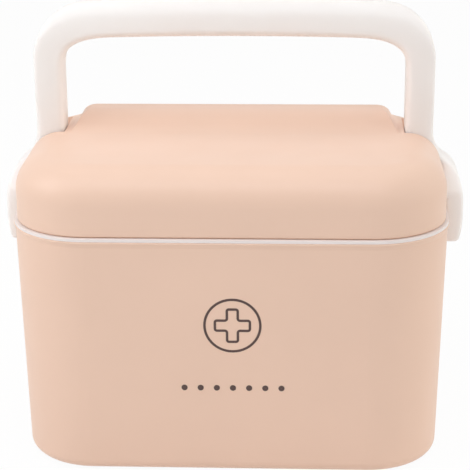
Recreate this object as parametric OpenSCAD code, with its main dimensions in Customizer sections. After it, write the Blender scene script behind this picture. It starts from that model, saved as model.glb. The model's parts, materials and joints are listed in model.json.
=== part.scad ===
// Medicine box: a rounded tub with a lift-out tray, a lift-off lid and a folding carrying handle.
// The origin is on the floor under the middle of the box. X runs left to right, the front faces -Y.

/* [Body] */
// Width over the body's rim, left to right
rim_width = 300; // [260:1:340]
// Depth over the body's rim, front to back
rim_depth = 190; // [176:1:240]
// Height of the body's rim above the floor
rim_height = 171; // [140:1:200]
// Corner radius of the rim, seen from above
corner_radius = 55; // [46:1:60]
// Lean of the body's walls, in degrees
draft = 1.3; // [0.5:0.1:3]
// Thickness of the body's walls
body_wall = 2.8; // [2:0.1:4]
// Thickness of the body's floor
body_floor = 3.2; // [3:0.1:5]
// Radius of the edge round the body's underside
bottom_radius = 8; // [6:0.5:16]
// How far the rim's bead stands out from the wall
bead_out = 1; // [0.5:0.1:2]
// Height of the rim's bead, with the slope under it
bead_height = 7; // [5:0.5:10]

/* [Feet] */
// Radius of a foot
foot_radius = 9; // [6:0.5:12]
// Height of a foot that shows under the body
foot_proud = 1.5; // [1:0.1:3]
// Depth of the pocket that holds a foot
foot_pocket = 1.4; // [1:0.1:1.8]
// Distance of a foot's centre from the rim's left or right side
foot_side = 52; // [48:1:70]
// Distance of a foot's centre from the rim's front or back
foot_end = 47; // [42:1:55]

/* [Lower compartment] */
// Thickness of a partition
partition_thickness = 2.4; // [1.6:0.1:4]
// Height of a partition above the body's floor
partition_height = 92; // [50:1:100]
// Distance of a partition from the middle
partition_x = 50; // [30:1:70]

/* [Tray] */
// Thickness of the tray's flange, the pale line round the box
flange_thickness = 2; // [1.6:0.1:4]
// How far the flange stays inside the body's rim
flange_inset = 0.3; // [0.2:0.1:2]
// Gap between the tray and the body's walls
tray_gap = 0.8; // [0.4:0.1:2]
// Depth of the tray below the body's rim
tray_depth = 52; // [35:1:60]
// Thickness of the tray's walls
tray_wall = 1.8; // [1.2:0.1:3]
// Thickness of the tray's floor
tray_floor = 2; // [1.2:0.1:3]
// Radius of the edge round the tray's underside
tray_radius = 6; // [4:0.5:10]
// Thickness of a divider
divider_thickness = 1.8; // [1.2:0.1:3]
// Height of a divider above the tray's floor
divider_height = 38; // [20:1:42]
// Distance of a cross divider from the middle
cross_x = 46; // [30:1:70]
// Distance of the long divider behind the middle
long_y = 10; // [0:1:25]

/* [Slots] */
// Height to which a slot's rib stands out from the wall
rib_out = 2.2; // [1.5:0.1:4]
// Thickness of a slot's rib
rib_thickness = 1.6; // [1.2:0.1:3]
// Clearance round a plate in its slot
slot_gap = 0.2; // [0.1:0.05:0.5]

/* [Lid] */
// How far the lid's side lies inside the body's rim
lid_inset = 2.5; // [1:0.1:3]
// Height of the lid from the tray's flange to its top
lid_height = 44.7; // [40:0.1:52]
// Radius of the shoulder round the lid's top
shoulder_radius = 23.5; // [20:0.5:27]
// Thickness of the lid
lid_wall = 2.5; // [1.8:0.1:3.5]
// Height of the shadow gap under the lid's edge
shadow_gap = 1; // [0.2:0.1:1.4]
// Depth of the shadow gap, inwards
shadow_depth = 1.2; // [0.6:0.1:2]
// Height at which the lid clears the tray's flange
seat_gap = 0.05; // [0.02:0.01:0.2]
// Thickness of the lip that centres the lid in the tray
lip_thickness = 1.6; // [1.2:0.1:3]
// How far the lip reaches into the tray
lip_depth = 5; // [3:0.5:10]
// Gap between the lip and the tray
lip_gap = 0.7; // [0.3:0.1:1.5]

/* [Raised block] */
// Height of the raised block above the lid's top
block_height = 9.5; // [6:0.5:12]
// Distance of the block's rear edge behind the middle
block_rear = 72; // [68:0.5:74]
// Radius of the hollow at the foot of the block's ends and of the crest above it
block_roll = 8; // [6:0.1:8]
// Radius of the block's corners at its foot, seen from above
block_corner = 18; // [16:0.5:20]
// Gap between the block's ends and the handle's channels
block_end_gap = 1; // [1:0.5:8]
// Distance of the foot of the block's front slope behind the middle
ramp_start = 6; // [4:0.5:10]
// Distance of the top of the block's front slope behind the middle
ramp_end = 46; // [40:0.5:50]

/* [Handle] */
// Distance of a leg's inner side from the rim's outer side
leg_inset = 28; // [27:0.5:34]
// Width of a leg, seen from the front
leg_width = 20; // [16:0.5:24]
// Depth of the legs and the grip, front to back
leg_depth = 28; // [22:0.5:32]
// Distance of the handle's centre plane behind the middle
handle_y = 27.5; // [20:0.5:30]
// Clear height between the lid's top and the grip's ends
grip_clear = 65.5; // [56:0.5:90]
// Height of the grip's section
grip_height = 25.5; // [18:0.5:30]
// Rise of the grip's arch from its ends to its middle
grip_arch = 3.2; // [1:0.2:6]
// Radius of the handle's outer corners
outer_corner = 39; // [30:1:48]
// Radius of the corners inside the handle
inner_corner = 7; // [4:0.5:12]
// Thickness of the handle's walls
handle_wall = 2.6; // [2:0.1:3.2]

/* [Ears] */
// Gap between an ear and the body's rim
ear_gap = 0.8; // [0.6:0.1:2]
// Thickness of an ear, left to right
ear_thickness = 13; // [12:0.1:16]
// Gap between an ear's pad and the lid's side, above the tray's flange
pad_gap = 0.7; // [0.6:0.05:1.2]
// Lowest height of an ear's pad above the tray's flange as the handle folds
pad_rise = 0.9; // [0.6:0.1:2]
// Width of an ear, front to back
ear_depth = 56; // [50:1:66]
// How far an ear hangs below the body's rim
ear_drop = 31; // [26:1:40]
// Height of an ear's thickest level under the body's rim
ear_level = 7; // [2:0.5:12]
// Height of an ear's full width above the body's rim
ear_knee = 5; // [2:0.5:12]
// Height above the body's rim at which an ear has narrowed to the leg
ear_neck = 36; // [30:0.5:42]
// Radius of an ear's bulging side, seen from the front
ear_bulge = 60; // [50:1:75]
// Radius of the hollow between an ear and its leg
ear_hollow = 12; // [8:0.5:18]
// Bevel of an ear's lower edge, seen from the front
ear_edge = 2; // [1:0.5:3]
// Radius of an ear's lower corners, seen from the side
ear_corner = 5; // [3:0.5:12]

/* [Pivot] */
// Height of the pivot above the tray's flange
pivot_rise = 9.2; // [8.5:0.1:10]
// Radius of the pivot pin
pin_radius = 4; // [3:0.1:4.5]
// Radius of the pin's head
pin_head = 7; // [6:0.1:8]
// Thickness of the pin's head
pin_head_thickness = 2.4; // [1.5:0.1:3]
// Running clearance between the pin and its bush, as a radius
running_gap = 0.05; // [0.02:0.01:0.1]
// Wall of the bush
bush_wall = 1.6; // [1.2:0.1:2]
// Length of the lid's boss round the pin, inwards from the lid's side
boss_length = 10; // [8:0.5:14]
// Wall of the lid's boss round the pin
boss_wall = 3.5; // [2.5:0.1:4.5]
// Wall of the friction washer, as a radius
washer_wall = 3.5; // [2:0.1:4.2]
// Radius within which the lid keeps its full shape round the pivot
hub_radius = 12; // [10:0.5:14]
// How far the leg's seat lies under the lid's top
seat_recess = 8; // [6:0.5:9]
// Clearance between the handle and the lid
leg_gap = 0.5; // [0.3:0.05:1]
// Angle to which the handle folds back, in degrees
fold_angle = 20; // [10:1:24]

/* [Screws] */
// Radius of a screw's thread
screw_radius = 1.5; // [1.2:0.1:2]
// Radius of a screw's head
screw_head = 2.9; // [2.4:0.1:3.4]
// Clearance round a screw, as a radius
screw_gap = 0.03; // [0.01:0.01:0.1]
// Thickness of a screw's head
screw_head_thickness = 2; // [1.5:0.1:2.4]
// Radius of a screw's boss in the handle
screw_boss = 4; // [3.2:0.1:4.5]
// Distance of the grip's inner screws from the middle
grip_screw_x = 36; // [20:1:60]
// Distance of the grip's outer screws from the legs' inner sides
corner_screw_inset = 22; // [18:1:42]
// Height of an ear's screw below the body's rim
ear_screw_drop = 20; // [16:1:24]

/* [Hidden] */
$fn = 96;

shell_pink = [0.89, 0.74, 0.65];
ivory = [0.94, 0.90, 0.87];
rubber_grey = [0.35, 0.34, 0.33];
steel_grey = [0.72, 0.73, 0.75];
acetal = [0.85, 0.85, 0.82];

// A cut runs this far past the surface that it opens
over = 1;
// A length longer than the whole part
beyond = 400;
// The round inside the handle's corner rises past the grip's arch by this much, so that they cross
corner_rise = 0.4;

// Corner centres shared by every rounded outline of the box
corner_x = rim_width / 2 - corner_radius;
corner_y = rim_depth / 2 - corner_radius;

// Radii of the nested outlines round those centres, at the rim
body_radius = corner_radius - bead_out;
body_inner = body_radius - body_wall;
tray_outer = body_inner - tray_gap;
tray_inner = tray_outer - tray_wall;
flange_radius = corner_radius - flange_inset;
lid_radius = corner_radius - lid_inset;
lid_inner = lid_radius - lid_wall;
lip_outer = tray_inner - lip_gap;
lip_inner = lip_outer - lip_thickness;

// Heights
body_base = foot_proud;
floor_top = body_base + body_floor;
flange_top = rim_height + flange_thickness;
tray_base = rim_height - tray_depth;
tray_floor_top = tray_base + tray_floor;
lid_base = flange_top + seat_gap;
lid_top = lid_base + lid_height;
shoulder_z = lid_top - shoulder_radius;
lip_top = lid_base + lip_thickness;

// Places across the box, on the right side
lid_side = corner_x + lid_radius;
shoulder_x = lid_side - shoulder_radius;
foot_x = rim_width / 2 - foot_side;
leg_inner = rim_width / 2 - leg_inset;
leg_outer = leg_inner + leg_width;
channel_x = leg_inner - leg_gap;
ear_inner = rim_width / 2 + ear_gap;
ear_outer = ear_inner + ear_thickness;
boss_x = lid_side - boss_length;
pad_inner = lid_side + pad_gap;
foot_y = rim_depth / 2 - foot_end;

// The pivot and the handle
pivot_z = flange_top + pivot_rise;
grip_end = lid_top + grip_clear;
grip_top = grip_end + grip_arch + grip_height;
arch_reach = leg_inner - inner_corner;
arch_radius = (pow(arch_reach, 2) + pow(grip_arch, 2)) / (2 * grip_arch);
arch_z = grip_end + grip_arch - arch_radius;
ear_bottom = rim_height - ear_drop;
pad_reach = (pivot_z - flange_top - pad_rise) * cos(fold_angle / 2);
block_side = channel_x - block_end_gap;
block_front = ramp_start - block_roll / 2;
block_middle = (block_front + block_rear) / 2;
block_swing = acos(1 - block_height / (2 * block_roll));
block_reach = 2 * block_roll * sin(block_swing);
ramp_radius = (pow(ramp_end - ramp_start, 2) + pow(block_height, 2)) / (4 * block_height);
bush_radius = pin_radius + running_gap + bush_wall;
bush_end = ear_face(pivot_z + bush_radius) - handle_wall;
pin_end = bush_end - over;
screw_start = handle_y + leg_depth / 2 - screw_head_thickness;
screw_length = leg_depth - handle_wall - screw_head_thickness;
grip_screw_z = grip_middle(grip_screw_x);
corner_screw_x = leg_inner - corner_screw_inset;
corner_screw_z = grip_middle(corner_screw_x);
ear_screw_x = (ear_inner + ear_outer) / 2;
ear_screw_z = rim_height - ear_screw_drop;

// Place of an ear's outer side at the height z
function ear_face(z) = ear_outer - ear_bulge + sqrt(pow(ear_bulge, 2) - pow(z - rim_height + ear_level, 2));

// Height of the middle of the grip's section at x
function grip_middle(x) = arch_z + sqrt(pow(arch_radius + grip_height / 2, 2) - pow(x, 2));

// Sweeps the 2D profile round a rounded outline, outwards from its corner centres at x and y
module swept_round(x = corner_x, y = corner_y) {
    for (turn = [0, 180])
        rotate(turn) {
            translate([x, y, 0])
                rotate_extrude(angle = 90)
                    children();
            translate([-x, y, 0])
                rotate([0, 0, 90])
                    rotate_extrude(angle = 90)
                        children();
            translate([-x, y, 0])
                rotate([90, 0, 90])
                    linear_extrude(2 * x)
                        children();
            translate([x, y, 0])
                rotate([90, 0, 0])
                    linear_extrude(2 * y)
                        children();
        }
}

// The same sweep with the middle filled between two heights
module filled_round(bottom, top, x = corner_x, y = corner_y) {
    swept_round(x, y)
        children();
    translate([-x, -y, bottom])
        cube([2 * x, 2 * y, top - bottom]);
}

// Profile of a leaning wall with a rounded lower edge, filled to the corner centre
module leaning_profile(top_radius, top, bottom, edge) {
    centre_z = bottom + edge;
    centre_x = top_radius - (rim_height - centre_z) * tan(draft) - edge / cos(draft);
    polygon([
        [0, bottom],
        [centre_x, bottom],
        [centre_x, centre_z],
        [centre_x + edge * cos(draft), centre_z - edge * sin(draft)],
        [top_radius + (top - rim_height) * tan(draft), top],
        [0, top]
    ]);
    translate([centre_x, centre_z])
        circle(edge);
}

// Body's inner space, drawn in from the walls and the floor by inset
module body_space(inset, top) {
    bottom = floor_top + inset;
    filled_round(bottom, top)
        leaning_profile(body_inner - inset, top, bottom, bottom_radius - body_wall);
}

// Tray's inner space, drawn in from the walls and the floor by inset
module tray_space(inset, top) {
    bottom = tray_floor_top + inset;
    filled_round(bottom, top)
        leaning_profile(tray_inner - inset, top, bottom, tray_radius - tray_wall);
}

// Plain room that the ribs leave free, this far beyond the corner centres
module free_room(reach, top) {
    translate([-corner_x - reach, -corner_y - reach, 0])
        cube([2 * (corner_x + reach), 2 * (corner_y + reach), top + over]);
}

// Two upright plates that make a slot for a plate across the box at x
module rib_pair(x, thickness, top) {
    for (side = [-1, 1])
        translate([x + side * (thickness / 2 + slot_gap + rib_thickness / 2) - rib_thickness / 2,
                   -rim_depth / 2, 0])
            cube([rib_thickness, rim_depth, top]);
}

// Plate across the box, from front to back
module cross_plate(x, thickness, bottom, top) {
    translate([x - thickness / 2, -rim_depth / 2, bottom])
        cube([thickness, rim_depth, top - bottom]);
}

module foot_shape(side_x, side_y, radius, bottom, top) {
    translate([side_x * foot_x, side_y * foot_y, bottom])
        cylinder(h = top - bottom, r = radius);
}

module body_shell() {
    partition_top = floor_top + partition_height;
    rib_reach = body_inner - rim_height * tan(draft) - rib_out;
    color(shell_pink)
        difference() {
            union() {
                difference() {
                    union() {
                        filled_round(body_base, rim_height)
                            leaning_profile(body_radius, rim_height, body_base, bottom_radius);
                        swept_round()
                            rim_bead();
                    }
                    body_space(0, rim_height + over);
                }
                intersection() {
                    difference() {
                        body_space(-slot_gap, partition_top);
                        free_room(rib_reach, partition_top);
                    }
                    for (side = [-1, 1])
                        rib_pair(side * partition_x, partition_thickness, partition_top);
                }
            }
            for (side_x = [-1, 1])
                for (side_y = [-1, 1])
                    foot_shape(side_x, side_y, foot_radius, body_base - over, body_base + foot_pocket);
        }
}

// Half-round bead on the outside of the rim, with a slope under it
module rim_bead() {
    polygon([
        [body_radius - over, rim_height - bead_height],
        [body_radius + bead_out, rim_height - bead_out],
        [body_radius - over, rim_height - bead_out]
    ]);
    translate([body_radius, rim_height - bead_out])
        circle(bead_out);
    translate([body_radius - over, rim_height - bead_out])
        square([over, bead_out]);
}

module foot(side_x, side_y) {
    color(rubber_grey)
        foot_shape(side_x, side_y, foot_radius, 0, body_base + foot_pocket);
}

module partition(side) {
    top = floor_top + partition_height;
    color(ivory)
        intersection() {
            cross_plate(side * partition_x, partition_thickness, floor_top, top);
            body_space(slot_gap, top);
        }
}

module tray() {
    divider_top = tray_floor_top + divider_height;
    rib_reach = tray_inner - tray_depth * tan(draft) - rib_out;
    color(ivory)
        difference() {
            union() {
                filled_round(tray_base, rim_height)
                    leaning_profile(tray_outer, rim_height, tray_base, tray_radius);
                swept_round()
                    translate([tray_inner - over, rim_height])
                        square([flange_radius - tray_inner + over, flange_thickness]);
            }
            difference() {
                tray_space(0, flange_top + over);
                intersection() {
                    difference() {
                        tray_space(-slot_gap, divider_top);
                        free_room(rib_reach, divider_top);
                    }
                    union() {
                        for (side = [-1, 1])
                            rib_pair(side * cross_x, divider_thickness, divider_top);
                        long_ribs(divider_top);
                    }
                }
            }
        }
}

// Ribs at the tray's ends for the long divider
module long_ribs(top) {
    for (side = [-1, 1])
        translate([-rim_width / 2,
                   long_y + side * (divider_thickness / 2 + slot_gap + rib_thickness / 2)
                       - rib_thickness / 2,
                   0])
            cube([rim_width, rib_thickness, top]);
}

// Slot for the half of a lap joint where the long divider crosses a cross divider
module lap_slot(side, bottom, top, along_x) {
    width = divider_thickness + 2 * slot_gap;
    across = 4 * divider_thickness;
    size_x = along_x ? across : width;
    size_y = along_x ? width : across;
    translate([side * cross_x - size_x / 2, long_y - size_y / 2, bottom])
        cube([size_x, size_y, top - bottom]);
}

module tray_divider_long() {
    top = tray_floor_top + divider_height;
    middle = tray_floor_top + divider_height / 2;
    color(ivory)
        difference() {
            intersection() {
                translate([-rim_width / 2, long_y - divider_thickness / 2, tray_floor_top])
                    cube([rim_width, divider_thickness, divider_height]);
                tray_space(slot_gap, top);
            }
            for (side = [-1, 1])
                lap_slot(side, middle - slot_gap, top + over, false);
        }
}

module tray_divider(side) {
    top = tray_floor_top + divider_height;
    middle = tray_floor_top + divider_height / 2;
    color(ivory)
        difference() {
            intersection() {
                cross_plate(side * cross_x, divider_thickness, tray_floor_top, top);
                tray_space(slot_gap, top);
            }
            lap_slot(side, tray_floor_top - over, middle + slot_gap, true);
        }
}

// Profile of the lid, drawn in from its surface by inset
module lid_profile(inset, bottom) {
    top = lid_top - inset;
    centre = lid_radius - shoulder_radius;
    square_to([0, bottom], [lid_radius - inset, shoulder_z]);
    square_to([0, bottom], [centre, top]);
    translate([centre, shoulder_z])
        intersection() {
            circle(shoulder_radius - inset);
            square(shoulder_radius);
        }
}

// Rectangle between two corners
module square_to(low, high) {
    translate(low)
        square([high[0] - low[0], high[1] - low[1]]);
}

module lid_solid(inset, bottom) {
    filled_round(bottom, lid_top - inset)
        lid_profile(inset, bottom);
}

// Turns a drawing in Y and Z into a solid between two places along X
module along_x(start, end) {
    translate([start, 0, 0])
        rotate([90, 0, 90])
            linear_extrude(end - start)
                children();
}

// Turns a drawing in X and Z into a solid between two places along Y
module along_y(start, end) {
    translate([0, end, 0])
        rotate([90, 0, 0])
            linear_extrude(end - start)
                children();
}

// Profile of the raised block's edge, with a hollow at its foot and a rounded crest above it
module block_profile(under, top) {
    crest = [block_corner - block_reach, top - block_roll];
    hollow = [block_corner, lid_top + block_roll];
    difference() {
        polygon([[crest[0], under], [block_corner, under], hollow, crest]);
        translate(hollow)
            circle(block_roll);
    }
    square_to([0, under], [crest[0], top]);
    translate(crest)
        intersection() {
            circle(block_roll);
            square(block_roll);
        }
}

// Side view of what lies under the block's long front slope, drawn in from it by inset
module ramp_side(inset) {
    under = lid_top - lid_wall - over;
    top = lid_top + block_height;
    split_y = (ramp_start + ramp_end) / 2;
    split_z = lid_top + block_height / 2;
    difference() {
        square_to([ramp_start, under], [split_y, split_z]);
        translate([ramp_start, lid_top + ramp_radius])
            circle(ramp_radius + inset, $fn = 720);
    }
    intersection() {
        translate([ramp_end, top - ramp_radius])
            circle(ramp_radius - inset, $fn = 720);
        square_to([ramp_start, under], [ramp_end, top]);
    }
    square_to([ramp_end, under], [block_rear + over, top - inset]);
}

module raised_block() {
    under = lid_top - lid_wall;
    top = lid_top + block_height;
    intersection() {
        translate([0, block_middle, 0])
            filled_round(under, top, block_side - block_corner, block_rear - block_middle - block_corner)
                block_profile(under, top);
        along_x(-block_side - over, block_side + over)
            ramp_side(0);
    }
}

// Hollow under the raised block
module block_pocket() {
    half_width = block_side - block_reach - lid_wall;
    rear = block_rear - block_reach - lid_wall;
    intersection() {
        along_x(-half_width, half_width)
            square_to([ramp_start + block_corner, lid_top - lid_wall - over], [rear, lid_top + block_height]);
        along_x(-half_width - over, half_width + over)
            ramp_side(lid_wall);
    }
}

// Side view of the room that a leg needs as it folds back, grown by margin
module channel_side(margin) {
    reach = leg_depth / 2 + leg_gap + margin;
    foot = [reach * cos(fold_angle), -reach * sin(fold_angle)];
    translate([handle_y, pivot_z])
        polygon([
            [-reach, 0],
            foot,
            foot + beyond * [sin(fold_angle), cos(fold_angle)],
            [-reach, beyond]
        ]);
}

module leg_channel(margin) {
    along_x(channel_x - margin, beyond)
        channel_side(margin);
}

// Domed seat round the pivot's axis, grown by margin and plain beyond the shoulder up to end
module pivot_dome(margin, end) {
    dome_z = shoulder_z - seat_recess - pivot_z;
    translate([0, handle_y, pivot_z])
        rotate([0, 90, 0])
            rotate_extrude() {
                square([dome_z + shoulder_radius + margin, shoulder_x]);
                translate([dome_z, shoulder_x])
                    intersection() {
                        circle(shoulder_radius + margin);
                        square(shoulder_radius + margin);
                    }
                square_to([0, 0], [dome_z, shoulder_x + shoulder_radius + margin]);
                square([hub_radius + margin, end]);
            }
}

// Cylinder along X on the pivot's axis
module pivot_cylinder(radius, start, end) {
    translate([start, handle_y, pivot_z])
        rotate([0, 90, 0])
            cylinder(h = end - start, r = radius);
}

// Does its children on the right side, and mirrored on the left
module both_sides() {
    children();
    mirror([1, 0, 0])
        children();
}

module lid_shell() {
    color(shell_pink)
        difference() {
            union() {
                difference() {
                    union() {
                        lid_solid(0, lid_base);
                        raised_block();
                    }
                    lid_hollow();
                    block_pocket();
                }
                both_sides()
                    channel_skin();
                both_sides()
                    pivot_cylinder(pin_radius + boss_wall, boss_x, lid_side - lid_wall / 2);
                lid_lip();
            }
            both_sides()
                difference() {
                    leg_channel(0);
                    pivot_dome(0, beyond);
                }
            both_sides()
                pivot_cylinder(pin_radius, boss_x - over, lid_side + over);
            swept_round()
                square_to([lid_radius - shadow_depth, lid_base - over],
                          [lid_radius + over, lid_base + shadow_gap]);
        }
}

// Space inside the lid
module lid_hollow() {
    lid_solid(lid_wall, lid_base - over);
}

// Skin of a leg's channel, inside the lid
module channel_skin() {
    intersection() {
        lid_solid(lid_wall / 2, lid_base);
        difference() {
            leg_channel(lid_wall);
            pivot_dome(-lid_wall, lid_side - lid_wall);
        }
    }
}

// Lip that centres the lid inside the tray
module lid_lip() {
    swept_round() {
        square_to([lip_inner, lid_base - lip_depth], [lip_outer, lip_top]);
        square_to([lip_inner, lid_base + seat_gap], [lid_inner + over, lip_top]);
    }
}

module pivot_pin() {
    color(steel_grey) {
        pivot_cylinder(pin_radius, boss_x, pin_end);
        pivot_cylinder(pin_head, boss_x - pin_head_thickness, boss_x);
    }
}

module friction_washer() {
    color(acetal)
        difference() {
            pivot_cylinder(pin_radius + washer_wall, lid_side + seat_gap, ear_inner - seat_gap);
            pivot_cylinder(pin_radius + running_gap, lid_side - over, ear_inner + over);
        }
}

// Front view of one side of the handle, drawn in from its outline by inset
module bail_half(inset) {
    top_radius = arch_radius + grip_height;
    corner_x = leg_outer - outer_corner;
    corner_z = arch_z + sqrt(pow(top_radius - outer_corner, 2) - pow(corner_x, 2));
    tangent = outer_corner * [corner_x, corner_z - arch_z] / (top_radius - outer_corner);
    inner_z = grip_end - inner_corner + corner_rise;
    difference() {
        union() {
            intersection() {
                translate([0, arch_z])
                    circle(top_radius - inset, $fn = 1440);
                square_to([0, corner_z], [corner_x + tangent[0], grip_top]);
            }
            square_to([corner_x, pivot_z], [leg_outer - inset, corner_z]);
            translate([corner_x, corner_z])
                circle(outer_corner - inset);
        }
        difference() {
            intersection() {
                translate([0, arch_z])
                    circle(arch_radius + inset, $fn = 1440);
                square_to([-over, 0], [leg_inner + inset, grip_top]);
            }
            difference() {
                square_to([arch_reach, inner_z], [leg_inner + inset + over, grip_top]);
                translate([arch_reach, inner_z])
                    circle(inner_corner + inset);
            }
        }
    }
}

// Front view of one ear and its neck, drawn in from its outline by inset and open below
module ear_half(inset) {
    bulge = [ear_outer - ear_bulge, rim_height - ear_level];
    hollow_x = leg_outer + ear_hollow;
    hollow_rise = sqrt(pow(ear_bulge + ear_hollow, 2) - pow(hollow_x - bulge[0], 2));
    hollow = [hollow_x, bulge[1] + hollow_rise];
    bevel = ear_face(ear_bottom) - ear_edge - inset * sqrt(2);
    difference() {
        union() {
            intersection() {
                translate(bulge)
                    circle(ear_bulge - inset);
                square_to([leg_inner + inset, ear_bottom - over], [ear_outer + over, hollow[1]]);
            }
            intersection() {
                polygon([bulge, hollow, [bulge[0], hollow[1]]]);
                square_to([leg_inner + inset, pivot_z], hollow);
            }
        }
        translate(hollow)
            circle(ear_hollow + inset);
        translate([bevel, ear_bottom])
            polygon([[-2 * over, -2 * over], [ear_outer, ear_outer], [ear_outer, -2 * over]]);
    }
}

// Side view of an ear and its neck, drawn in from its outline by inset
module ear_side(inset) {
    wide = ear_depth / 2 - inset;
    narrow = leg_depth / 2 - inset;
    bottom = ear_bottom + inset;
    corner = ear_corner - inset;
    knee = rim_height + ear_knee;
    neck = rim_height + ear_neck;
    translate([handle_y, 0]) {
        square_to([-wide, bottom + corner], [wide, knee]);
        square_to([corner - wide, bottom], [wide - corner, knee]);
        for (side = [-1, 1])
            translate([side * (wide - corner), bottom + corner])
                circle(corner);
        polygon([[-wide, knee], [wide, knee], [narrow, neck], [-narrow, neck]]);
        square_to([-narrow, knee], [narrow, grip_top]);
    }
}

// Side view of an ear's pad, which stays above the tray's flange as the handle folds
module pad_side(inset) {
    intersection() {
        ear_side(inset);
        translate([handle_y, pivot_z])
            intersection_for(turn = [0, fold_angle])
                rotate(turn)
                    square_to([-beyond, inset - pad_reach], [beyond, beyond]);
    }
}

// The whole handle, drawn in from its surface by inset
module handle_solid(inset) {
    half_leg = leg_depth / 2 - inset;
    both_sides()
        difference() {
            union() {
                along_y(handle_y - half_leg, handle_y + half_leg) {
                    bail_half(inset);
                    intersection() {
                        ear_half(inset);
                        square_to([leg_inner, pivot_z], [ear_outer, grip_top]);
                    }
                }
                intersection() {
                    along_y(handle_y - ear_depth, handle_y + ear_depth)
                        ear_half(inset);
                    union() {
                        along_x(ear_inner + inset, ear_outer + over)
                            ear_side(inset);
                        along_x(pad_inner + inset, ear_inner + inset + over)
                            pad_side(inset);
                    }
                }
            }
            pivot_dome(leg_gap + inset, ear_inner + inset);
        }
}

// Places of the handle's screws on the right side, in X and Z
screw_places = [
    [grip_screw_x, grip_screw_z],
    [corner_screw_x, corner_screw_z],
    [ear_screw_x, ear_screw_z]
];

// Cylinder along Y at one of the screws' places
module screw_cylinder(place, radius, start, end) {
    translate([place[0], end, place[1]])
        rotate([90, 0, 0])
            cylinder(h = end - start, r = radius);
}

// The handle's hollow shell with its bosses, before it is split
module handle_shell() {
    difference() {
        union() {
            difference() {
                handle_solid(0);
                handle_solid(handle_wall);
            }
            intersection() {
                handle_solid(handle_wall / 2);
                both_sides() {
                    for (place = screw_places)
                        screw_cylinder(place, screw_boss, 0, beyond);
                    pivot_cylinder(bush_radius + handle_wall, ear_inner, ear_outer);
                }
            }
        }
        both_sides() {
            pivot_cylinder(bush_radius, ear_inner - over, bush_end);
            for (place = screw_places) {
                screw_cylinder(place, screw_radius + screw_gap, screw_start - screw_length, beyond);
                screw_cylinder(place, screw_head + screw_gap, screw_start, beyond);
            }
        }
    }
}

module handle_part(start, end) {
    color(ivory)
        intersection() {
            handle_shell();
            translate([-beyond / 2, start, 0])
                cube([beyond, end - start, beyond]);
        }
}

module handle_front() {
    handle_part(handle_y - ear_depth, handle_y);
}

module handle_rear() {
    handle_part(handle_y, handle_y + ear_depth);
}

module pivot_bush() {
    color(acetal)
        difference() {
            pivot_cylinder(bush_radius, ear_inner, bush_end);
            pivot_cylinder(pin_radius + running_gap, ear_inner - over, ear_outer);
        }
}

module handle_screw(place) {
    color(steel_grey) {
        screw_cylinder(place, screw_radius, screw_start - screw_length, screw_start);
        screw_cylinder(place, screw_head, screw_start, screw_start + screw_head_thickness);
    }
}

// Draws its children where they are on the right side, or mirrored on the left side
module on_side(side) {
    mirror([side == "left" ? 1 : 0, 0, 0])
        children();
}

body_shell();
foot(-1, -1);  // foot_front_left
foot(1, -1);  // foot_front_right
foot(-1, 1);  // foot_rear_left
foot(1, 1);  // foot_rear_right
partition(-1);  // partition_left
partition(1);  // partition_right
tray();
tray_divider_long();
tray_divider(-1);  // tray_divider_left
tray_divider(1);  // tray_divider_right
lid_shell();
on_side("left") pivot_pin();  // pivot_pin_left
on_side("right") pivot_pin();  // pivot_pin_right
on_side("left") friction_washer();  // friction_washer_left
on_side("right") friction_washer();  // friction_washer_right
handle_front();
handle_rear();
on_side("left") pivot_bush();  // pivot_bush_left
on_side("right") pivot_bush();  // pivot_bush_right
on_side("left") handle_screw(screw_places[0]);  // grip_screw_left
on_side("right") handle_screw(screw_places[0]);  // grip_screw_right
on_side("left") handle_screw(screw_places[1]);  // corner_screw_left
on_side("right") handle_screw(screw_places[1]);  // corner_screw_right
on_side("left") handle_screw(screw_places[2]);  // ear_screw_left
on_side("right") handle_screw(screw_places[2]);  // ear_screw_right
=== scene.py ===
"""Medicine box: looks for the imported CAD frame. Lengths in this file are in millimetres unless said."""

import json
import math

import bmesh
import bpy
from mathutils import Matrix, Vector


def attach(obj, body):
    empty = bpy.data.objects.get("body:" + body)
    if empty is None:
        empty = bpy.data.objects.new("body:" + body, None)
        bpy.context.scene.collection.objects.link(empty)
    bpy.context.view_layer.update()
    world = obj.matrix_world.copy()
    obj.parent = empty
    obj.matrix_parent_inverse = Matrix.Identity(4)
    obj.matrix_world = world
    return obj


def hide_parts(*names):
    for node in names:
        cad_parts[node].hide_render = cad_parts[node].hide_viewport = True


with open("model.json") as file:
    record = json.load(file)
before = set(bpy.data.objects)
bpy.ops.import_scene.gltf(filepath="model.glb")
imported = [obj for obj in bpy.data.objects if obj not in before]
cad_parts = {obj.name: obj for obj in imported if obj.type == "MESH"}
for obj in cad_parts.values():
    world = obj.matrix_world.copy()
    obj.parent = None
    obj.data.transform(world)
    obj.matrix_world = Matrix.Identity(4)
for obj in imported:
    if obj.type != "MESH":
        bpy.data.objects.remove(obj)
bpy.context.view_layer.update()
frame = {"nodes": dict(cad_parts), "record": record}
nodes = frame["nodes"]
scene = bpy.context.scene

MM = 0.001

# Heights and places taken from the CAD model
RIM_Z = 171.0
PIVOT_Y = 27.5
PIVOT_Z = 182.2
DRAFT = math.radians(1.3)
FRONT_Y = -94.0


def linear(colour):
    """Linear values of a colour written as sRGB, 0 to 255."""
    return tuple(
        (c / 255 / 12.92) if c <= 10 else ((c / 255 + 0.055) / 1.055) ** 2.4 for c in colour
    )


# Materials

# Patches per metre in the noises of the plastics, from the coarsest to the finest
CLOUD_SCALE = 14
PATCH_SCALE = 45
GRAIN_SCALE = 2600
# Height of the plastics' grain in metres, and how far their roughness strays
GRAIN_HEIGHT = 0.00006
ROUGHNESS_SPREAD = 0.03
# Share of the light that enters a plastic which has a depth
ENTERING_LIGHT = 0.7
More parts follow.
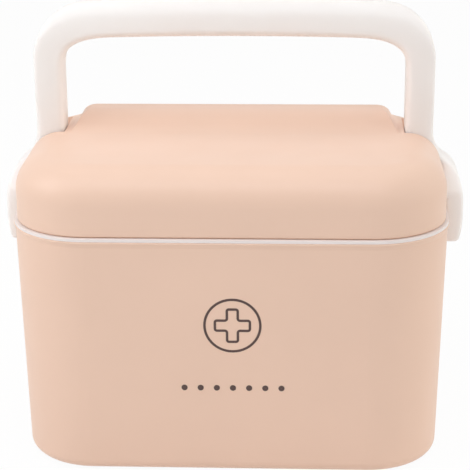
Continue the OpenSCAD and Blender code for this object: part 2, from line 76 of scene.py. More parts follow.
# Turning marks of the metal: patches per metre, stretch, height in metres and strength
MARK_SCALE = 900
MARK_STRETCH = (1, 0.05, 1)
MARK_HEIGHT = 0.00004
MARK_BUMP = 0.1
# Shares that the marks add to the metal's colour, and what they add to its roughness, at both ends
MARK_TINT = (-0.05, 0.03)
MARK_ROUGHNESS = (-0.06, 0.08)
# Part of a noise's range that is used
NOISE_LOW = 0.3
NOISE_HIGH = 0.7


class Nodes:
    """Adds nodes and links to a material with short calls."""

    def __init__(self, name):
        """Starts a material with a principled shader."""
        self.material = bpy.data.materials.new(name)
        self.material.use_nodes = True
        self.tree = self.material.node_tree
        self.shader = self.tree.nodes["Principled BSDF"]
        self.output = self.tree.nodes["Material Output"]

    def add(self, kind, **values):
        """New node, with each value on its input or setting of that name."""
        node = self.tree.nodes.new(kind)
        for key, value in values.items():
            if key in node.inputs:
                node.inputs[key].default_value = value
            else:
                setattr(node, key, value)
        return node

    def link(self, source, target):
        """Joins an output to an input."""
        self.tree.links.new(source, target)

    def noise(self, scale, detail=2.0, stretch=(1, 1, 1)):
        """Noise in object coordinates. A scale of 1 gives patches of about a metre."""
        place = self.add("ShaderNodeTexCoord")
        mapping = self.add("ShaderNodeMapping")
        mapping.inputs["Scale"].default_value = stretch
        texture = self.add("ShaderNodeTexNoise", Scale=scale, Detail=detail)
        self.link(place.outputs["Object"], mapping.inputs["Vector"])
        self.link(mapping.outputs["Vector"], texture.inputs["Vector"])
        return texture.outputs["Fac"]

    def ramp(self, source, low, high):
        """Maps the middle of a noise to values between low and high."""
        node = self.add("ShaderNodeMapRange")
        node.inputs["From Min"].default_value = NOISE_LOW
        node.inputs["From Max"].default_value = NOISE_HIGH
        node.inputs["To Min"].default_value = low
        node.inputs["To Max"].default_value = high
        self.link(source, node.inputs["Value"])
        return node.outputs["Result"]

    def blend(self, factor, first, second):
        """Mixes two linear colours by the factor."""
        node = self.add("ShaderNodeMix", data_type="RGBA")
        colours = [s for s in node.inputs if s.type == "RGBA"]
        colours[0].default_value = (*first, 1)
        colours[1].default_value = (*second, 1)
        self.link(factor, node.inputs["Factor"])
        return [s for s in node.outputs if s.type == "RGBA"][0]

    def bump(self, height, strength, distance):
        """Tilts the surface as if the height stood this far in metres above it."""
        node = self.add("ShaderNodeBump")
        node.inputs["Strength"].default_value = strength
        node.inputs["Distance"].default_value = distance
        self.link(height, node.inputs["Height"])
        self.link(node.outputs["Normal"], self.shader.inputs["Normal"])


def shade(colour, change):
    """The linear colour made lighter or darker by a share."""
    return tuple(min(1.0, c * (1 + change)) for c in colour)


def plastic(name, colour, roughness, grain=0.12, spread=0.012, specular=0.4, depth=0.0):
    """Satin moulded plastic with a fine eroded grain. Light enters it to the depth in metres."""
    made = Nodes(name)
    base = linear(colour)
    clouds = made.noise(CLOUD_SCALE, 3)
    tint = made.blend(made.ramp(clouds, 0, 1), shade(base, -spread), shade(base, spread))
    made.link(tint, made.shader.inputs["Base Color"])
    patches = made.noise(PATCH_SCALE)
    gloss = made.ramp(patches, roughness - ROUGHNESS_SPREAD, roughness + ROUGHNESS_SPREAD)
    made.link(gloss, made.shader.inputs["Roughness"])
    made.shader.inputs["Specular IOR Level"].default_value = specular
    if depth:
        made.shader.inputs["Subsurface Weight"].default_value = ENTERING_LIGHT
        made.shader.inputs["Subsurface Radius"].default_value = (1.0, 1.0, 1.0)
        made.shader.inputs["Subsurface Scale"].default_value = depth
    made.bump(made.noise(GRAIN_SCALE), grain, GRAIN_HEIGHT)
    return made.material


def metal(name, colour, roughness):
    """Bright drawn steel with fine turning marks."""
    made = Nodes(name)
    base = linear(colour)
    marks = made.noise(MARK_SCALE, stretch=MARK_STRETCH)
    tint = made.blend(made.ramp(marks, 0, 1), *(shade(base, change) for change in MARK_TINT))
    made.link(tint, made.shader.inputs["Base Color"])
    gloss = made.ramp(marks, *(roughness + change for change in MARK_ROUGHNESS))
    made.link(gloss, made.shader.inputs["Roughness"])
    made.shader.inputs["Metallic"].default_value = 1.0
    made.bump(marks, MARK_BUMP, MARK_HEIGHT)
    return made.material


SHELL = plastic("shell_plastic", (238, 205, 184), 0.42, specular=0.36)
IVORY = plastic("ivory_plastic", (241, 233, 230), 0.45, specular=0.15)
HANDLE = plastic("handle_plastic", (253, 244, 241), 0.45, specular=0.1, depth=0.004)
RUBBER = plastic("foot_rubber", (88, 86, 84), 0.75, grain=0.4, spread=0.05, specular=0.3)
STEEL = metal("screw_steel", (184, 187, 190), 0.3)
ACETAL = plastic("acetal", (222, 220, 214), 0.35, grain=0.06)
INK = plastic("print_ink", (92, 74, 70), 0.55, grain=0.08, spread=0.03, specular=0.3)

MATERIALS = {
    "shell": SHELL,
    "ivory": IVORY,
    "rubber": RUBBER,
    "steel": STEEL,
    "acetal": ACETAL,
}


# Meshes

# Edges that bend by more than so many degrees stay sharp, on rounded and on turned pieces
SHARP = 40
TURNED_SHARP = 30
# Points closer than this in metres become one
JOIN_WITHIN = 1e-7


def piece(name, mesh, material, body):
    """Links a mesh as a piece that rides on a body."""
    made = bpy.data.objects.new(name, mesh)
    scene.collection.objects.link(made)
    mesh.materials.append(material)
    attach(made, body)
    return made


def mesh_from(name, points, faces, sharp=SHARP):
    """Mesh in metres from points in millimetres, smooth apart from its sharp edges."""
    mesh = bpy.data.meshes.new(name)
    mesh.from_pydata([Vector(p) * MM for p in points], [], faces)
    tidy = bmesh.new()
    tidy.from_mesh(mesh)
    bmesh.ops.remove_doubles(tidy, verts=tidy.verts, dist=JOIN_WITHIN)
    bmesh.ops.recalc_face_normals(tidy, faces=tidy.faces)
    tidy.to_mesh(mesh)
    tidy.free()
    mesh.polygons.foreach_set("use_smooth", [True] * len(mesh.polygons))
    mesh.set_sharp_from_angle(angle=math.radians(sharp))
    return mesh


def loft(name, rings, sharp=SHARP):
    """Closed tube through rings of equally many points, with both ends capped."""
    count = len(rings[0])
    points = [p for ring in rings for p in ring]
    faces = []
    for k in range(len(rings) - 1):
        for i in range(count):
            j = (i + 1) % count
            faces.append((k * count + i, k * count + j, (k + 1) * count + j, (k + 1) * count + i))
    faces.append(tuple(range(count)))
    last = (len(rings) - 1) * count
    faces.append(tuple(last + i for i in range(count)))
    return mesh_from(name, points, faces, sharp)


# Handle

# Legs: inner and outer side, half depth, and the heights between which they are plain
LEG_IN = 122.0
LEG_OUT = 142.0
LEG_HALF = 14.0
LEG_LOW = 220.0
LEG_HIGH = 252.0
LEG_STEP = 8.0
# How far the outer end of a leg's lowest ring rises, and the height in which its outer edge tightens
LEG_SLANT = 6.0
LEG_BLEND = 16.0
# Radii of the long edges: of the legs' inner and outer edges, and of the grip's upper and lower ones
LEG_RADIUS = 4.2
LEG_EDGE = 2.2
GRIP_RADIUS = 10.5
UNDER_RADIUS = 5.0
# How much narrower the front half of the grip is at its top than at its bottom
GRIP_LEAN = 0.24
# Shares by which the faces bulge between their edges
EAR_CROWN = 0.02
LEG_CROWN = 0.03
GRIP_CROWN = 0.08
# Outer side of an ear and its neck, as X and Z
EAR_SIDE = (
    (161.0, 140.0), (162.2, 144.0), (163.3, 150.0), (163.8, 158.0), (163.8, 166.0),
    (163.5, 173.0), (162.8, 179.0), (161.4, 184.5), (160.2, 188.1), (156.2, 194.1),
)
# Ears: inner side, half depth, foot, radius of the corners at the foot, and of the long edges
EAR_IN = 150.8
EAR_HALF = 28.0
EAR_LOW = 140.0
EAR_CORNER = 5.0
EAR_EDGE = 2.4
# Rounding of an ear's foot at its inner and its outer side
FOOT_IN = 1.2
FOOT_OUT = 2.2
# Heights above its foot at which an ear's section is drawn
EAR_RISES = (
    0, 0.3, 0.8, 1.6, 2.6, 4, 6, 12, 18, 24, 30, 33.4, 35, 36.8, 39, 41.5, 44, 47, 49,
)
# Pads on the ears' inner sides: inner side, reach below the pivot, and height of their step
PAD_IN = 148.3
PAD_LOW = 8.1
PAD_STEP = 0.8
# Range of the handle's tilt, in which a pad stays on the lid's side
FOLD = math.radians(20)
# Heights between which the ears narrow to the legs' depth
KNEE_Z = 178.0
NECK_Z = 197.0
# Rings of a neck: inner and outer point as X and Z, half depth and edge radius
NECK = (
    ((148.3, 191.0), (156.8, 193.4), 17.5, 2.4),
    ((148.3, 193.4), (153.6, 196.2), 15.6, 2.0),
    ((147.6, 195.2), (150.6, 198.2), LEG_HALF, 1.8),
    ((146.4, 196.8), (148.6, 199.8), LEG_HALF, 1.8),
    ((144.8, 198.8), (147.0, 201.8), LEG_HALF, 1.9),
    ((142.8, 201.2), (145.4, 204.4), LEG_HALF, 2.0),
    ((140.0, 204.0), (144.0, 207.6), LEG_HALF, 2.4),
    ((135.0, 207.6), (142.8, 211.6), LEG_HALF, 3.2),
    ((129.0, 210.0), (142.1, 215.4), LEG_HALF, 3.8),
    ((124.4, 211.0), (142.0, 218.6), LEG_HALF, LEG_RADIUS),
    ((122.2, 213.6), (142.0, 222.0), LEG_HALF, LEG_RADIUS),
)
# Where a neck's underside follows the lid's seat: within this X, and so far above the pivot
SEAT_X = 147.0
SEAT_NEAR = 17.0
SEAT_FAR = 31.0
# Curve of the handle's inner corner as X and Z, from the leg to the grip
INNER_CORNER = ((LEG_IN, 262.0), (LEG_IN, 276.0), (114.0, 283.4), (88.0, 284.4))
CORNER_RADIUS = 39.0
CORNER_STEPS = 14
# Arch of the grip: its top and underside at the middle, radius, centre, and rings in each half
ARCH_TOP = 311.95
ARCH_UNDER = 285.6
ARCH_RADIUS = 2093.5
ARCH_Z = ARCH_TOP - ARCH_RADIUS
ARCH_STEPS = 8
# Sections: greatest share of their half size that is rounded, and steps in each round
ROUND_SHARE = 0.92
ROUND_STEPS = 8
# Shares along a section's sides and its face at which further points lie
SIDE_SHARES = (0.35, 0.7)
FACE_SHARES = (0.2, 0.4, 0.6, 0.8)
# Seam between the handle's halves: size of the groove, and half of the gap at its floor
SEAM_GROOVE = 0.22
SEAM_GAP = 0.05
# Round recess for a pivot's hub, to just past the ear's inner side, and hole for its bush
HUB_RADIUS = 12.4
HUB_END = EAR_IN + 0.02
BUSH_RADIUS = 5.66
BUSH_END = 158.9
# Both are cut from here outwards
CUT_START = 140.0


def ear_face(z):
    """Outer side of an ear at the height z, on a smooth curve through its named points."""
    count = len(EAR_SIDE)
    k = max(0, min(count - 2, sum(1 for p in EAR_SIDE if p[1] <= z) - 1))
    a, b = EAR_SIDE[k], EAR_SIDE[k + 1]
    before = EAR_SIDE[max(0, k - 1)]
    after = EAR_SIDE[min(count - 1, k + 2)]
    start = (b[0] - before[0]) / (b[1] - before[1])
    end = (after[0] - a[0]) / (after[1] - a[1])
    span = b[1] - a[1]
    t = (z - a[1]) / span
    return (
        (2 * t**3 - 3 * t**2 + 1) * a[0]
        + (t**3 - 2 * t**2 + t) * span * start
        + (3 * t**2 - 2 * t**3) * b[0]
        + (t**3 - t**2) * span * end
    )


def round_in(distance, radius):
    """How far a rounded edge draws in at this distance from the end."""
    if distance >= radius:
        return 0.0
    return radius - math.sqrt(radius**2 - (radius - distance) ** 2)


def bezier(a, b, c, d, t):
    """Point of a cubic curve in the plane."""
    s = 1 - t
    return tuple(
        s**3 * a[i] + 3 * s * s * t * b[i] + 3 * s * t * t * c[i] + t**3 * d[i] for i in (0, 1)
    )


def between(low, high, share):
    """Value at a share of the way from low to high."""
    return low + (high - low) * share


def ear_rings():
    """Rings of an ear, from its foot to the neck."""
    made = []
    for rise in EAR_RISES:
        z = EAR_LOW + rise
        inner = EAR_IN + round_in(rise, FOOT_IN)
        outer = ear_face(z) - round_in(rise, FOOT_OUT)
        depth = EAR_HALF - round_in(rise, EAR_CORNER)
        if z > KNEE_Z:
            depth -= (z - KNEE_Z) * (EAR_HALF - LEG_HALF) / (NECK_Z - KNEE_Z)
        made.append(((inner, z), (outer, z), depth, EAR_EDGE, EAR_EDGE, EAR_CROWN))
    return made


def leg_rings():
    """Rings of a leg, from the neck to the corner."""
    made = []
    for k in range(int((LEG_HIGH - LEG_LOW) / LEG_STEP) + 1):
        z = LEG_LOW + LEG_STEP * k
        outer = LEG_OUT, z + LEG_SLANT * (LEG_HIGH - z) / (LEG_HIGH - LEG_LOW)
        radius = between(LEG_RADIUS, LEG_EDGE, min(1.0, (z - LEG_LOW) / LEG_BLEND))
        made.append(((LEG_IN, z), outer, LEG_HALF, radius, LEG_RADIUS, LEG_CROWN))
    return made


def grip_rings():
    """Rings of the corner and of the arched grip, to its middle."""
    made = []
    corner_x = LEG_OUT - CORNER_RADIUS
    corner_z = ARCH_Z + math.sqrt((ARCH_RADIUS - CORNER_RADIUS) ** 2 - corner_x**2)
    end = math.atan2(corner_z - ARCH_Z, corner_x)
    for k in range(CORNER_STEPS + 1):
        t = k / CORNER_STEPS
        outer = (
            corner_x + CORNER_RADIUS * math.cos(end * t),
            corner_z + CORNER_RADIUS * math.sin(end * t),
        )
        smooth = t * t * (3 - 2 * t)
        radius = between(LEG_EDGE, GRIP_RADIUS, smooth)
        under = between(LEG_RADIUS, UNDER_RADIUS, smooth)
        crown = between(LEG_CROWN, GRIP_CROWN, smooth)
        made.append((bezier(*INNER_CORNER, t), outer, LEG_HALF, radius, under, crown))
    under_x, under_z = INNER_CORNER[-1]
    top_x = corner_x + CORNER_RADIUS * math.cos(end)
    for k in range(1, ARCH_STEPS + 1):
        rest = 1 - k / ARCH_STEPS
        inner = under_x * rest, ARCH_UNDER - (ARCH_UNDER - under_z) * rest**2
        outer = top_x * rest, ARCH_Z + math.sqrt(ARCH_RADIUS**2 - (top_x * rest) ** 2)
        made.append((inner, outer, LEG_HALF, GRIP_RADIUS, UNDER_RADIUS, GRIP_CROWN))
    return made


def handle_stations():
    """Rings of the handle's right half, from the ear's foot to the middle of the grip.

    Each has its inner and outer point, half depth, outer and inner edge radius, and crown.
    """
    neck = [(*ring, ring[-1], LEG_CROWN) for ring in NECK]
    return ear_rings() + neck + leg_rings() + grip_rings()


def quarter(u, v, radius, start):
    """Points of a quarter turn round (u, v), clockwise from the start angle."""
    turns = [start - k / ROUND_STEPS * math.pi / 2 for k in range(ROUND_STEPS + 1)]
    return [(u + radius * math.cos(turn), v + radius * math.sin(turn)) for turn in turns]


def half_section(a, b, radius, under, crown, lean):
    """One half of a rounded section as (u, v) points, from the inner to the outer side."""
    radius = min(radius, a * ROUND_SHARE, b * ROUND_SHARE)
    under = min(under, a * ROUND_SHARE, b * ROUND_SHARE)
    foot = SEAM_GROOVE + SEAM_GAP
    points = [(-a + SEAM_GROOVE, SEAM_GAP), (-a, foot)]
    points += [(-a, between(foot, b - under, share)) for share in SIDE_SHARES]
    points += quarter(-(a - under), b - under, under, math.pi)
    points += [(between(-(a - under), a - radius, share), b) for share in FACE_SHARES]
    points += quarter(a - radius, b - radius, radius, math.pi / 2)
    points += [(a, between(foot, b - radius, share)) for share in reversed(SIDE_SHARES)]
    points += [(a, foot), (a - SEAM_GROOVE, SEAM_GAP)]
    return [
        (u * (1 - crown * (v / b) ** 2), v * (1 - crown * (u / a) ** 2 - lean * (u / a + 1) / 2))
        for u, v in points
    ]


def seat_drop(inner, v):
    """How far the seat under a leg falls away at the distance v from the handle's centre plane."""
    reach = inner[1] - PIVOT_Z
    if inner[0] > SEAT_X or not SEAT_NEAR < reach < SEAT_FAR:
        return 0.0
    return math.sqrt(reach**2 - v**2) - reach


def pad_shift(z, v):
    """How far an ear's inner face comes in at the height z and the distance v behind the pivot."""
    rise = z - PIVOT_Z
    lowest = min(rise, rise * math.cos(FOLD) - v * math.sin(FOLD))
    share = (lowest + PAD_LOW) / PAD_STEP
    return (EAR_IN - PAD_IN) * min(1.0, max(0.0, share))


def handle_half(name, side):
    """Front (side -1) or rear (side 1) half of the handle, from the left ear to the right one."""
    half = handle_stations()
    stations = [(1, s) for s in half] + [(-1, s) for s in reversed(half[:-1])]
    rings = []
    for flip, (inner, outer, depth, radius, under, crown) in stations:
        along = Vector(outer) - Vector(inner)
        middle = Vector(inner) + along / 2
        direction = along.normalized()
        lean = 0.0
        if side < 0:
            lean = GRIP_LEAN * max(0.0, (radius - LEG_RADIUS) / (GRIP_RADIUS - LEG_RADIUS))
        has_pad = inner[0] > PAD_IN and inner[1] == outer[1]
        ring = []
        for u, v in half_section(along.length / 2, depth, radius, under, crown, lean):
            place = middle + direction * u
            share = 0.5 - u / along.length
            drop = seat_drop(inner, v) * share
            shift = pad_shift(inner[1], side * v) * share if has_pad else 0.0
            ring.append((flip * (place.x - shift), PIVOT_Y + side * v, place.y + drop))
        rings.append(ring)
    return loft(name, rings)


# Sides of rods and screws
TURNED_SIDES = 48


def rod(start, end, radius):
    """Mesh of a closed cylinder between two points."""
    axis = (Vector(end) - Vector(start)).normalized()
    side = axis.orthogonal().normalized()
    across = axis.cross(side)
    count = TURNED_SIDES
    turns = [2 * math.pi * k / count for k in range(count)]
    points = [
        Vector(place) + (side * math.cos(turn) + across * math.sin(turn)) * radius
        for place in (start, end)
        for turn in turns
    ]
    faces = [(k, (k + 1) % count, count + (k + 1) % count, count + k) for k in range(count)]
    faces += [tuple(range(count)), tuple(range(count, 2 * count))]
    return mesh_from("rod", points, faces, TURNED_SHARP)


def carve(mesh, rods):
    """The mesh with the rods cut out of it, one after the other."""
    solid = bpy.data.objects.new("solid", mesh)
    scene.collection.objects.link(solid)
    cutters = []
    for shape in rods:
        cutter = bpy.data.objects.new("cutter", shape)
        scene.collection.objects.link(cutter)
        cut = solid.modifiers.new("cut", "BOOLEAN")
        cut.operation = "DIFFERENCE"
        cut.solver = "EXACT"
        cut.object = cutter
        cutters.append(cutter)
    seen = bpy.context.evaluated_depsgraph_get()
    made = bpy.data.meshes.new_from_object(solid.evaluated_get(seen))
    for spent in (solid, *cutters):
        bpy.data.objects.remove(spent)
    made.set_sharp_from_angle(angle=math.radians(SHARP))
    return made


# Depth of the grip's screws below its top
SCREW_DROP = 12.75
# Holes for the screws' heads, with an end well behind the handle
HOLE_RADIUS = 2.93
HOLE_END = 70.0
# Heads and threads: radii, and their ends along Y
HEAD_RADIUS = 2.9
HEAD_START = 39.5
HEAD_END = 41.5
THREAD_RADIUS = 1.5
THREAD_START = 16.1
# A thread's tip: how much narrower it is, and its length
TIP_NARROW = 0.8
TIP_LENGTH = 1.0
# Rounding of a head's edge: steps down from its end and in from its side
HEAD_ROUND = ((0.35, 0.0), (0.1, 0.12), (0.0, 0.35))
# Hexagon sockets: radius at the corners, chamfer and depth
SOCKET_SIDES = 6
SOCKET_RADIUS = 1.35
SOCKET_CHAMFER = 0.15
SOCKET_DEPTH = 1.2


def in_grip(x):
    """Place of a screw of the grip, as X and Z."""
    return x, ARCH_Z + math.sqrt((ARCH_RADIUS - SCREW_DROP) ** 2 - x**2)


# Places of the handle's screws on the right side, as X and Z
SCREW_PLACES = {
    "grip_screw": in_grip(36.0),
    "corner_screw": in_grip(100.0),
    "ear_screw": (157.3, 151.0),
}


def handle_rods(side):
    """Holes of the pivots' hubs and bushes, and of the screws in the rear half."""
    made = []
    for flip in (-1, 1):
        for radius, end in ((HUB_RADIUS, HUB_END), (BUSH_RADIUS, BUSH_END)):
            made.append(
                rod((flip * CUT_START, PIVOT_Y, PIVOT_Z), (flip * end, PIVOT_Y, PIVOT_Z), radius)
            )
        if side > 0:
            for x, z in SCREW_PLACES.values():
                made.append(rod((flip * x, HEAD_START, z), (flip * x, HOLE_END, z), HOLE_RADIUS))
    return made


for name, side in (("handle_front", -1), ("handle_rear", 1)):
    whole = handle_half(name + "_shell", side)
    made = piece(name + "_shell", carve(whole, handle_rods(side)), HANDLE, "handle")
    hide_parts(name)


# Screws: a head with a rounded edge and a hexagon socket, behind a plain thread


def screw_ring(x, z, y, radius, sides=0):
    """Circle across a screw's axis at Y, or a regular polygon where sides are given."""
    made = []
    for k in range(TURNED_SIDES):
        turn = 2 * math.pi * k / TURNED_SIDES
        reach = radius
        if sides:
            within = (turn + math.pi / sides) % (2 * math.pi / sides) - math.pi / sides
            reach = radius * math.cos(math.pi / sides) / math.cos(within)
        made.append((x + reach * math.cos(turn), y, z + reach * math.sin(turn)))
    return made


def screw_mesh(name, x, z):
    """Screw along Y, from the thread's tip to the socket's floor."""
    profile = [
        (THREAD_START, THREAD_RADIUS - TIP_NARROW),
        (THREAD_START + TIP_LENGTH, THREAD_RADIUS),
        (HEAD_START, THREAD_RADIUS),
        (HEAD_START, HEAD_RADIUS),
    ]
    profile += [(HEAD_END - down, HEAD_RADIUS - inward) for down, inward in HEAD_ROUND]
    socket = (
        (HEAD_END, SOCKET_RADIUS + SOCKET_CHAMFER),
        (HEAD_END - SOCKET_CHAMFER, SOCKET_RADIUS),
        (HEAD_END - SOCKET_DEPTH, SOCKET_RADIUS),
    )
    rings = [screw_ring(x, z, y, radius) for y, radius in profile]
    rings += [screw_ring(x, z, y, radius, SOCKET_SIDES) for y, radius in socket]
    return loft(name, rings, TURNED_SHARP)


for kind, (x, z) in SCREW_PLACES.items():
    for side, flip in (("left", -1), ("right", 1)):
        name = f"{kind}_{side}"
        mesh = screw_mesh(name + "_turned", flip * x, z)
        made = piece(name + "_turned", mesh, STEEL, "handle")
        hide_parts(name)


# Print on the body's front: an outlined cross in a ring, and a row of dots below it

INK_LIFT = 0.12
# Middle of the ring, its radius, and the width of the printed lines
PRINT_X = 3.0
PRINT_Z = 112.0
RING_RADIUS = 19.6
RING_STEPS = 96
LINE = 1.7
# Cross: reach and half width of its arms, and steps in each round corner
CROSS_REACH = 12.6
CROSS_HALF = 4.5
CROSS_STEPS = 6
# Radii of the cross at its outward and inward corners, for its two outlines
CROSS_INSIDE = (0.5, 2.4)
CROSS_OUTSIDE = (2.2, 0.7)
# Row of dots. A dot is a ring round a pinhole.
DOTS = 7
DOT_Z = 66.0
DOT_STEP = 11.0
DOT_RADIUS = 2.1
DOT_STEPS = 24
PINHOLE = 0.05


def on_front(x, z, lift):
    """Point on the body's leaning front wall, lifted off it by a little."""
    return (x, FRONT_Y + (RIM_Z - z) * math.tan(DRAFT) - lift, z)


def outline_mesh(name, inner, outer):
    """Closed band of ink between two outlines of (x, z) points."""
    count = len(inner)
    points = [on_front(x, z, lift) for lift in (0.0, INK_LIFT) for x, z in (*inner, *outer)]
    faces = []
    for i in range(count):
        j = (i + 1) % count
        faces.append((2 * count + i, 2 * count + j, 3 * count + j, 3 * count + i))
        faces.append((i, j, count + j, count + i))
        faces.append((i, j, 2 * count + j, 2 * count + i))
        faces.append((count + i, count + j, 3 * count + j, 3 * count + i))
    return mesh_from(name, points, faces, TURNED_SHARP)


def circle_points(x, z, radius, count):
    """Evenly spaced points of a circle."""
    turns = [2 * math.pi * k / count for k in range(count)]
    return [(x + radius * math.cos(turn), z + radius * math.sin(turn)) for turn in turns]


def cross_points(x, z, reach, half, radii):
    """Outline of a cross, from its reach, the half width of its arms and its corners' radii."""
    arm = ((reach, -half), (reach, half), (half, half))
    corners = []
    for _ in range(4):
        corners += arm
        arm = tuple((-b, a) for a, b in arm)
    points = []
    for i, corner in enumerate(corners):
        here = Vector(corner)
        before = (Vector(corners[i - 1]) - here).normalized()
        after = (Vector(corners[(i + 1) % len(corners)]) - here).normalized()
        turn = before.x * after.y - before.y * after.x
        bend = radii[0] if turn < 0 else radii[1]
        centre = here + (before + after) * bend
        start = math.atan2(-after.y, -after.x)
        end = math.atan2(-before.y, -before.x)
        sweep = (end - start + math.pi) % (2 * math.pi) - math.pi
        for k in range(CROSS_STEPS + 1):
            angle = start + sweep * k / CROSS_STEPS
            points.append((x + centre.x + bend * math.cos(angle), z + centre.y + bend * math.sin(angle)))
    return points


def printed(name, inner, outer):
    """Piece of print between two outlines."""
    piece(name, outline_mesh(name, inner, outer), INK, "box")


printed(
    "print_ring",
    circle_points(PRINT_X, PRINT_Z, RING_RADIUS - LINE, RING_STEPS),
    circle_points(PRINT_X, PRINT_Z, RING_RADIUS, RING_STEPS),
)
printed(
    "print_cross",
    cross_points(PRINT_X, PRINT_Z, CROSS_REACH - LINE, CROSS_HALF - LINE, CROSS_INSIDE),
    cross_points(PRINT_X, PRINT_Z, CROSS_REACH, CROSS_HALF, CROSS_OUTSIDE),
)
for k in range(DOTS):
    dot_x = PRINT_X + (k - (DOTS - 1) / 2) * DOT_STEP
    printed(
        f"print_dot_{k + 1}",
        circle_points(dot_x, DOT_Z, PINHOLE, DOT_STEPS),
        circle_points(dot_x, DOT_Z, DOT_RADIUS, DOT_STEPS),
    )


# Materials of the CAD nodes

for entry in frame["record"]["subparts"]:
    node = nodes[entry["node"]]
    material = MATERIALS[entry["material_slot"]]
    if node.material_slots:
        for place in node.material_slots:
            place.material = material
    else:
        node.data.materials.append(material)


# Stage and light

# Half the floor's side, its surface, and the share by which it shows as plain white
FLOOR_HALF = 4000.0
FLOOR_COLOUR = (247, 246, 246)
FLOOR_ROUGHNESS = 0.9
FLOOR_SPECULAR = 0.1
FLOOR_WHITE = 0.95
# Tints of the lamps above the box and of the light around it
COOL = (0.985, 0.995, 1.06)
WARM = (1.0, 0.985, 0.94)
# Strength of the studio's light from all sides, and of the lobes added to it
EVEN_LIGHT = 0.08
LIGHT_LOBES = {
    (0, 0, 1): 0.2,
    (-1, 0, 0): 0.33,
    (1, 0, 0): 1.7,
    (0, 1, 0): 0.45,
    (0, -1, 0): 0.05,
}
# Place of each lamp in metres, with its width, height, power in watts and tint
LAMPS = {
    "left": ((-1.5, -0.5, 1.1), 1.0, 1.0, 11.8, (1, 1, 1)),
    "top": ((0, 0.2, 1.9), 1.4, 1.0, 5.0, COOL),
    "over": ((-0.2, -0.95, 1.65), 1.6, 0.6, 9.8, COOL),
}
LAMP_TARGET = (0, 0, 0.15)


def seen_directly(tree):
    """One for rays from the camera and in glossy or clear reflections, and zero for the others."""
    path = tree.nodes.new("ShaderNodeLightPath")
    total = path.outputs["Is Camera Ray"]
    for kind in ("Is Glossy Ray", "Is Transmission Ray"):
        larger = tree.nodes.new("ShaderNodeMath")
        larger.operation = "MAXIMUM"
        tree.links.new(total, larger.inputs[0])
        tree.links.new(path.outputs[kind], larger.inputs[1])
        total = larger.outputs[0]
    return total


def floor_material(name):
    """White to the camera and in reflections by a share, and a plain pale surface otherwise."""
    made = Nodes(name)
    made.shader.inputs["Base Color"].default_value = (*linear(FLOOR_COLOUR), 1)
    made.shader.inputs["Roughness"].default_value = FLOOR_ROUGHNESS
    made.shader.inputs["Specular IOR Level"].default_value = FLOOR_SPECULAR
    glow = made.add("ShaderNodeEmission", Strength=1.0)
    mix = made.add("ShaderNodeMixShader")
    seen = made.add("ShaderNodeMath", operation="MULTIPLY")
    seen.inputs[1].default_value = FLOOR_WHITE
    made.link(seen_directly(made.tree), seen.inputs[0])
    made.link(seen.outputs[0], mix.inputs["Fac"])
    made.link(made.shader.outputs[0], mix.inputs[1])
    made.link(glow.outputs[0], mix.inputs[2])
    made.link(mix.outputs[0], made.output.inputs["Surface"])
    return made.material


floor_corners = [(x * FLOOR_HALF, y * FLOOR_HALF, 0) for x, y in ((-1, -1), (1, -1), (1, 1), (-1, 1))]
floor_mesh = mesh_from("floor", floor_corners, [(0, 1, 2, 3)])
floor = bpy.data.objects.new("floor", floor_mesh)
scene.collection.objects.link(floor)
floor_mesh.materials.append(floor_material("floor_white"))


def link_lobes(tree, ambient):
    """Links the background's strength to the even light and the squared cosine lobes."""
    direction = tree.nodes.new("ShaderNodeTexCoord").outputs["Generated"]
    total = tree.nodes.new("ShaderNodeValue").outputs[0]
    total.default_value = EVEN_LIGHT
    for axis, strength in LIGHT_LOBES.items():
        along = tree.nodes.new("ShaderNodeVectorMath")
        along.operation = "DOT_PRODUCT"
        along.inputs[1].default_value = axis
        tree.links.new(direction, along.inputs[0])
        facing = tree.nodes.new("ShaderNodeMath")
        facing.operation = "MAXIMUM"
        facing.inputs[1].default_value = 0.0
        tree.links.new(along.outputs["Value"], facing.inputs[0])
        squared = tree.nodes.new("ShaderNodeMath")
        squared.operation = "POWER"
        squared.inputs[1].default_value = 2.0
        tree.links.new(facing.outputs[0], squared.inputs[0])
        added = tree.nodes.new("ShaderNodeMath")
        added.operation = "MULTIPLY_ADD"
        added.inputs[1].default_value = strength
        tree.links.new(squared.outputs[0], added.inputs[0])
        tree.links.new(total, added.inputs[2])
        total = added.outputs[0]
    tree.links.new(total, ambient.inputs["Strength"])


def studio_world():
    """World that lights the object from all sides and shows as plain white."""
    world = bpy.data.worlds.new("studio")
    scene.world = world
    world.use_nodes = True
    tree = world.node_tree
    tree.nodes.clear()
    output = tree.nodes.new("ShaderNodeOutputWorld")
    ambient = tree.nodes.new("ShaderNodeBackground")
    ambient.inputs["Color"].default_value = (*WARM, 1)
    white = tree.nodes.new("ShaderNodeBackground")
    white.inputs["Color"].default_value = (1, 1, 1, 1)
    white.inputs["Strength"].default_value = 1.0
    choose = tree.nodes.new("ShaderNodeMixShader")
    tree.links.new(seen_directly(tree), choose.inputs["Fac"])
    tree.links.new(ambient.outputs[0], choose.inputs[1])
    tree.links.new(white.outputs[0], choose.inputs[2])
    tree.links.new(choose.outputs[0], output.inputs["Surface"])
    link_lobes(tree, ambient)


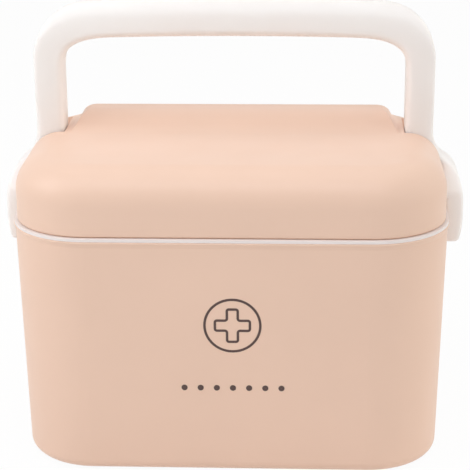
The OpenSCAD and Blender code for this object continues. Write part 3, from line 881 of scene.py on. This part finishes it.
def area_light(name, place, width, height, power, tint):
    """Soft rectangular lamp that looks at the box."""
    data = bpy.data.lights.new(name, "AREA")
    data.shape = "RECTANGLE"
    data.size = width
    data.size_y = height
    data.energy = power
    data.color = tint
    lamp = bpy.data.objects.new(name, data)
    scene.collection.objects.link(lamp)
    lamp.location = place
    aim = Vector(LAMP_TARGET) - Vector(place)
    lamp.rotation_mode = "QUATERNION"
    lamp.rotation_quaternion = aim.to_track_quat("-Z", "Y")


studio_world()
for name, values in LAMPS.items():
    area_light(name, *values)


# Camera fitted to the photograph: distances in metres, lengths on the photograph in pixels

FOCAL_PX = 1541.3
FRAME_PX = 470
SENSOR = 36.0
NEAR_CLIP = 0.05
FAR_CLIP = 20.0
DISTANCE = 1.102
ELEVATION = math.radians(18.69)
YAW = math.radians(-2.66)
ROLL = math.radians(-0.437)
SHIFT_X = -0.000918
SHIFT_Z = 0.0248


def camera_matrix():
    """Place and turn of the camera, from the fitted distance, elevation, yaw, roll and shifts."""
    turn = Matrix.Rotation(-YAW, 3, "Z")
    right = turn @ Vector((1, 0, 0))
    ahead = turn @ Vector((0, math.cos(ELEVATION), -math.sin(ELEVATION)))
    up = turn @ Vector((0, math.sin(ELEVATION), math.cos(ELEVATION)))
    place = Vector((0, 0, RIM_Z * MM)) - ahead * DISTANCE - right * SHIFT_X - up * SHIFT_Z
    rolled_right = right * math.cos(ROLL) + up * math.sin(ROLL)
    rolled_up = up * math.cos(ROLL) - right * math.sin(ROLL)
    return Matrix(
        (
            (rolled_right.x, rolled_up.x, -ahead.x, place.x),
            (rolled_right.y, rolled_up.y, -ahead.y, place.y),
            (rolled_right.z, rolled_up.z, -ahead.z, place.z),
            (0, 0, 0, 1),
        )
    )


camera_data = bpy.data.cameras.new("camera")
camera_data.sensor_width = SENSOR
camera_data.sensor_fit = "HORIZONTAL"
camera_data.lens = FOCAL_PX / FRAME_PX * SENSOR
camera_data.clip_start = NEAR_CLIP
camera_data.clip_end = FAR_CLIP
camera = bpy.data.objects.new("camera", camera_data)
scene.collection.objects.link(camera)
scene.camera = camera
camera.matrix_world = camera_matrix()

scene.view_settings.view_transform = "Standard"
